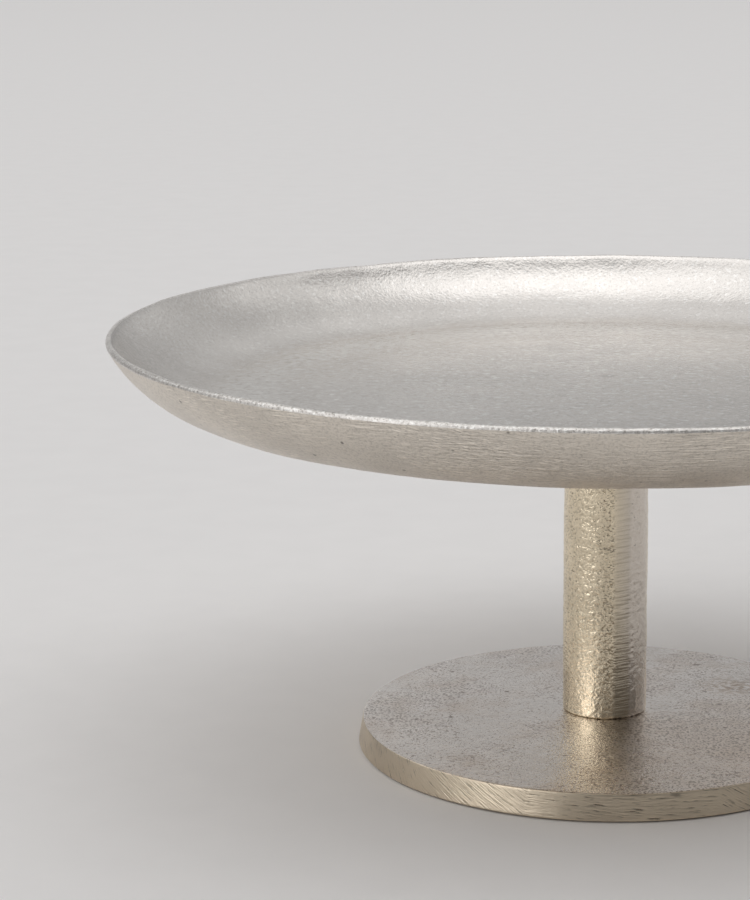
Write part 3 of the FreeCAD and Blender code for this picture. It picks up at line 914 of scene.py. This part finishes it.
def make_base(settings):
    base = settings.base
    low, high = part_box("base_plate")
    stem_low, stem_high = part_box("stem")
    seat = stem_low.z
    bottom = low.z
    radius = (high.x - low.x) / 2
    upper = radius - base.flare
    edge_top = bottom + base.edge_height
    seat_radius = (stem_high.x - stem_low.x) / 2 + base.seat_margin
    rise = seat - edge_top
    drop = (upper**2 - seat_radius**2 - rise**2) / (2 * rise)
    recess = bottom + base.recess_depth
    recess_radius = radius - base.ring_width
    well_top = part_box("flat_washer")[1].z
    dome_centre = (0.0, edge_top - drop)
    lead = base.spigot_lead
    top, edge, turned = range(3)
    section = Section(base.well_radius, well_top)
    section.line(base.well_radius, recess, turned, soft=0.3 * MM)
    section.line(recess_radius, recess, turned, step=6 * MM)
    section.line(recess_radius, bottom, turned, soft=0.3 * MM)
    section.line(radius, bottom, turned, step=3.8 * MM, soft=0.5 * MM)
    section.line(upper, edge_top, edge, wave=0.8, step=0.9 * MM, soft=0.6 * MM)
    section.arc(dome_centre, (seat_radius, seat), top, wave=1.0, step=1.2 * MM)
    section.line(base.spigot_radius, seat, top)
    section.line(base.spigot_radius, high.z - lead, turned)
    section.line(base.spigot_radius - lead, high.z, turned)
    section.line(base.hole_radius, high.z, turned)
    section.line(base.hole_radius, well_top, turned)
    section.line(base.well_radius, well_top, turned)
    piece = turn("base_casting", section, BASE_SIDES, cast_waves(settings.casting, BASE_SHIFT))
    materials = [sand_cast_top(base), linished_edge(base)]
    materials.append(turned_metal("base_underside_turned", base.edge_colour, 0.3))
    finish_piece(piece, "base_plate", materials)


def thread(height, angles, pitch):
    """A right-hand thread's profile: 1 in the middle of its groove and 0 on the flat beside it."""
    phase = (height / pitch - angles / TURN) % 1.0
    return np.clip(1.35 - np.abs(phase - 0.5) * 4, 0, 1)


def make_rod(settings):
    fasteners = settings.fasteners
    low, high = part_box("tie_rod")
    radius = (high.x - low.x) / 2
    chamfer = 0.6 * MM
    section = Section(0.0, low.z)
    section.line(radius - chamfer, low.z)
    section.line(radius, low.z + chamfer)
    section.line(radius, high.z - chamfer, wave=1.0, step=fasteners.pitch / 7)
    section.line(radius - chamfer, high.z)
    section.line(0.0, high.z)

    def uneven(points, angles):
        return -thread(points[:, 2], angles, fasteners.pitch) * fasteners.thread_depth

    piece = turn("tie_rod_threaded", section, ROD_SIDES, uneven)
    finish_piece(piece, "tie_rod", [zinc_plate(fasteners)])


def make_nut(settings):
    """The nut: a threaded bore, and a hexagon whose corners a cone cuts off at both faces."""
    fasteners = settings.fasteners
    low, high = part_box("hex_nut")
    rod_low, rod_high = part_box("tie_rod")
    clearance, chamfer = 0.05 * MM, 0.4 * MM
    bore = (rod_high.x - rod_low.x) / 2 + clearance
    thickness = high.z - low.z
    angles = np.arange(NUT_SIDES) * TURN / NUT_SIDES
    flat = fasteners.across_flats / 2
    face = flat - chamfer
    half_side = TURN / 12
    hexagon = flat / np.cos((angles + half_side) % (2 * half_side) - half_side)
    cut = (hexagon - face) * math.tan(half_side)
    even = np.ones(NUT_SIDES)
    rings = [
        ((bore + chamfer) * even, 0 * even),
        (face * even, 0 * even),
        (hexagon, cut),
        (hexagon, thickness - cut),
        (face * even, thickness * even),
        ((bore + chamfer) * even, thickness * even),
    ]
    run_in, shallower = 0.12, 0.8
    for number in range(BORE_STEPS + 1):
        height = thickness * (1 - run_in - (1 - 2 * run_in) * number / BORE_STEPS)
        ridge = thread(low.z + height, angles, fasteners.pitch)
        rings.append((bore - ridge * fasteners.thread_depth * shallower, height * even))
    radius, height = np.array(rings).transpose(1, 0, 2)
    slots = np.zeros(len(rings), int)
    piece = skin("hex_nut_chamfered", radius, height + low.z, angles, slots, closed=True)
    finish_piece(piece, "hex_nut", [zinc_plate(fasteners)])


def make_flat_washer(settings):
    """The flat washer, with its stamped edges rounded."""
    low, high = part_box("flat_washer")
    outside = (high.x - low.x) / 2
    hole = settings.base.hole_radius
    section = Section(hole, low.z)
    section.line(outside, low.z, soft=0.2 * MM)
    section.line(outside, high.z, soft=0.3 * MM)
    section.line(hole, high.z, soft=0.3 * MM)
    section.line(hole, low.z, soft=0.2 * MM)
    piece = turn("flat_washer_stamped", section, WASHER_SIDES)
    finish_piece(piece, "flat_washer", [zinc_plate(settings.fasteners)])


def make_spring_washer(settings):
    """The spring washer: a square wire, wound once and pressed flat, with a slanted slit."""
    low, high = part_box("spring_washer")
    outside = max(high.y, -low.y)
    hole = settings.base.hole_radius
    edge = 0.2 * MM
    wire = [
        (hole + edge, low.z),
        (outside - edge, low.z),
        (outside, low.z + edge),
        (outside, high.z - edge),
        (outside - edge, high.z),
        (hole + edge, high.z),
        (hole, high.z - edge),
        (hole, low.z + edge),
    ]
    slant = 0.35
    half_slit = settings.fasteners.slit / 2
    vertices, faces = [], []
    for step in range(WIRE_STEPS + 1):
        for radius, height in wire:
            lean = (height - (low.z + high.z) / 2) * slant
            start = (half_slit + lean) / radius
            end = (half_slit - lean) / radius
            angle = start + (TURN - start - end) * step / WIRE_STEPS
            vertices.append((radius * math.cos(angle), radius * math.sin(angle), height))
    count = len(wire)
    for step in range(WIRE_STEPS):
        for number in range(count):
            after = (number + 1) % count
            a, b = step * count + number, step * count + after
            faces.append((a, a + count, b + count, b))
    faces.append(tuple(range(count)))
    faces.append(tuple(reversed(range(WIRE_STEPS * count, len(vertices)))))
    piece = mesh_object("spring_washer_split", vertices, faces)
    finish_piece(piece, "spring_washer", [zinc_plate(settings.fasteners)])


def make_pads(settings):
    pads = settings.pads
    material = pressed_felt(pads)
    for node in sorted(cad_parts):
        if not node.startswith("felt_pad_"):
            continue
        low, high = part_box(node)
        radius = (high.x - low.x) / 2
        section = Section(0.0, low.z)
        section.line(radius, low.z, wave=0.15, step=0.7 * MM, soft=pads.soft_edge)
        section.line(radius, high.z, wave=1.0, step=0.5 * MM, soft=pads.soft_edge)
        section.line(0.0, high.z, step=1.4 * MM)
        middle = Vector(((low.x + high.x) / 2, (low.y + high.y) / 2, 0.0))

        def uneven(points, angles, middle=middle):
            return (swell(points + np.array(middle), 0.9 * MM, PAD_SHIFT) - 1) * pads.fuzz

        piece = turn(node + "_felt", section, PAD_SIDES, uneven)
        piece.data.transform(Matrix.Translation(middle))
        finish_piece(piece, node, [material])


# --- Stage -----------------------------------------------------------------------------------


def add_floor(stage):
    """A wide plain floor under the plate."""
    half = stage.floor_size / 2
    corners = [(-half, -half, 0.0), (half, -half, 0.0), (half, half, 0.0), (-half, half, 0.0)]
    floor = mesh_object("floor", corners, [(0, 1, 2, 3)])
    floor.data.materials.append(stage_paper(stage))


class Sky(Tree):
    """The world around the plate: soft glows far away, and a soft box on the ceiling."""

    def __init__(self, world):
        super().__init__(world)
        self.direction = self.node("ShaderNodeTexCoord").outputs["Generated"]
        self.total = 0.0

    def soft_edge(self, value, start, end):
        """0 before start and 1 past end, with a smooth step between them."""
        inputs = {"Value": value, "From Min": start, "From Max": end}
        made = self.node("ShaderNodeMapRange", inputs, interpolation_type="SMOOTHSTEP")
        return made.outputs["Result"]

    def glow(self, up, around, half_width, strength):
        """A round glow, up degrees above the floor and around degrees from behind the plate
        towards the right, at half its strength half_width degrees away."""
        up, around = math.radians(up), math.radians(around)
        aim = (math.sin(around) * math.cos(up), math.cos(around) * math.cos(up), math.sin(up))
        inputs = {0: self.direction, 1: aim}
        facing = self.node("ShaderNodeVectorMath", inputs, operation="DOT_PRODUCT")
        sharpness = math.log(2) / (1 - math.cos(math.radians(half_width)))
        away = self.maths("SUBTRACT", facing.outputs["Value"], 1.0)
        falling = self.maths("EXPONENT", self.times(away, sharpness))
        self.total = self.maths("MULTIPLY_ADD", falling, strength, self.total)

    def ceiling_box(self, middle, half_size, edge, strength):
        """A rectangle on the ceiling, given for a ceiling one metre up."""
        x, y, z = self.split(self.direction)
        height = self.maths("MAXIMUM", z, 0.01)
        mask = strength
        for axis, value in enumerate((x, y)):
            place = self.maths("DIVIDE", value, height)
            off = self.away(place, middle[axis])
            inside = self.soft_edge(off, half_size[axis] + edge, half_size[axis] - edge)
            mask = self.times(inside, mask)
        self.total = self.maths("ADD", self.total, mask)

    def finish(self, seen_colour, seen_strength):
        """Lights the scene, but lets the camera itself see plain paper behind the plate."""
        light = self.node("ShaderNodeBackground", {"Color": WHITE, "Strength": self.total})
        paper = {"Color": seen_colour, "Strength": seen_strength}
        paper = self.node("ShaderNodeBackground", paper)
        seen = self.node("ShaderNodeLightPath").outputs["Is Camera Ray"]
        mix = self.node("ShaderNodeMixShader", {0: seen, 1: light.outputs[0], 2: paper.outputs[0]})
        self.node("ShaderNodeOutputWorld", {"Surface": mix.outputs[0]})


def add_lights(stage):
    world = bpy.data.worlds.new("studio")
    bpy.context.scene.world = world
    sky = Sky(world)
    # Degrees up, degrees round, half width in degrees, strength.
    glows = (
        (52, 2, 24, 0.82),
        (23, 3, 10, 0.12),
        (4, 227, 13, 0.95),
        (20, 227, 13, 1.6),
        (30, 215, 16, 0.2),
        (35, 68, 14, 0.86),
        (37, 288, 14, 1.2),
        (0, 340, 16, 0.75),
        (8, 31, 15, 0.68),
        (49, 245, 27, 1.05),
        (72, 118, 20, 0.75),
        (12, 130, 28, 0.24),
    )
    for up, around, half_width, strength in glows:
        sky.glow(up, around, half_width, strength)
    sky.ceiling_box(middle=(0.17, -0.13), half_size=(0.6, 0.38), edge=0.12, strength=0.57)
    sky.finish(shade(stage.floor_colour, 1.0), seen_strength=0.77)


def add_camera(stage):
    """The camera, at the height and distance that show the plate as it was seen."""
    turn_left, dip, roll = stage.camera_turn, stage.camera_dip, stage.camera_roll
    ahead = Vector(
        (-math.sin(turn_left) * math.cos(dip), math.cos(turn_left) * math.cos(dip), -math.sin(dip))
    )
    level = Vector((math.cos(turn_left), math.sin(turn_left), 0.0))
    upright = level.cross(ahead)
    right = level * math.cos(roll) + upright * math.sin(roll)
    up = upright * math.cos(roll) - level * math.sin(roll)
    lens = bpy.data.cameras.new("camera")
    lens.lens = stage.focal_length
    lens.sensor_width = 36.0
    lens.clip_end = 100.0
    camera = bpy.data.objects.new("camera", lens)
    bpy.context.scene.collection.objects.link(camera)
    axes = Matrix((right, up, -ahead)).transposed().to_4x4()
    place = Vector((0.0, -stage.camera_distance, stage.camera_height))
    camera.matrix_world = Matrix.Translation(place) @ axes
    bpy.context.scene.camera = camera


def make_stage(settings):
    add_floor(settings.stage)
    add_lights(settings.stage)
    add_camera(settings.stage)
    bpy.context.scene.view_settings.view_transform = "Standard"


# --- Add-on ----------------------------------------------------------------------------------


class PATEN_OT_dish(bpy.types.Operator):
    """Make the dish casting"""

    bl_idname = "paten.dish"
    bl_label = "Dish"

    def execute(self, context):
        make_dish(context.scene.paten)
        return {"FINISHED"}


class PATEN_OT_stem(bpy.types.Operator):
    """Make the stem casting"""

    bl_idname = "paten.stem"
    bl_label = "Stem"

    def execute(self, context):
        make_stem(context.scene.paten)
        return {"FINISHED"}


class PATEN_OT_base(bpy.types.Operator):
    """Make the base casting"""

    bl_idname = "paten.base"
    bl_label = "Base"

    def execute(self, context):
        make_base(context.scene.paten)
        return {"FINISHED"}


class PATEN_OT_fasteners(bpy.types.Operator):
    """Make the threaded rod, the washers and the nut"""

    bl_idname = "paten.fasteners"
    bl_label = "Fasteners"

    def execute(self, context):
        make_rod(context.scene.paten)
        make_flat_washer(context.scene.paten)
        make_spring_washer(context.scene.paten)
        make_nut(context.scene.paten)
        return {"FINISHED"}


class PATEN_OT_pads(bpy.types.Operator):
    """Make the felt pads"""

    bl_idname = "paten.pads"
    bl_label = "Felt pads"

    def execute(self, context):
        make_pads(context.scene.paten)
        return {"FINISHED"}


class PATEN_OT_stage(bpy.types.Operator):
    """Make the floor, the lights and the camera"""

    bl_idname = "paten.stage"
    bl_label = "Stage"

    def execute(self, context):
        make_stage(context.scene.paten)
        return {"FINISHED"}


OPERATORS = (
    PATEN_OT_stage,
    PATEN_OT_dish,
    PATEN_OT_stem,
    PATEN_OT_base,
    PATEN_OT_fasteners,
    PATEN_OT_pads,
)


class PATEN_PT_sidebar(bpy.types.Panel):
    """The sidebar panel that lists the pieces"""

    bl_label = "Paten plate"
    bl_space_type = "VIEW_3D"
    bl_region_type = "UI"
    bl_category = "Paten plate"

    def draw(self, context):
        for operator in OPERATORS:
            self.layout.operator(operator.bl_idname)
        for group in ("casting", "dish", "stem", "base", "fasteners", "pads", "stage"):
            box = self.layout.box()
            box.label(text=group.capitalize())
            settings = getattr(context.scene.paten, group)
            for key in settings.bl_rna.properties.keys():
                if key not in ("rna_type", "name"):
                    box.prop(settings, key)


SETTINGS = (
    PATEN_PG_casting,
    PATEN_PG_dish,
    PATEN_PG_stem,
    PATEN_PG_base,
    PATEN_PG_fasteners,
    PATEN_PG_pads,
    PATEN_PG_stage,
    PATEN_PG_plate,
)


def register():
    for item in (*SETTINGS, *OPERATORS, PATEN_PT_sidebar):
        bpy.utils.register_class(item)
    bpy.types.Scene.paten = PointerProperty(type=PATEN_PG_plate)


def unregister():
    del bpy.types.Scene.paten
    for item in reversed((*SETTINGS, *OPERATORS, PATEN_PT_sidebar)):
        bpy.utils.unregister_class(item)


def main():
    register()
    bpy.ops.paten.stage()
    bpy.ops.paten.dish()
    bpy.ops.paten.stem()
    bpy.ops.paten.base()
    bpy.ops.paten.fasteners()
    bpy.ops.paten.pads()


if __name__ == "__main__":
    main()
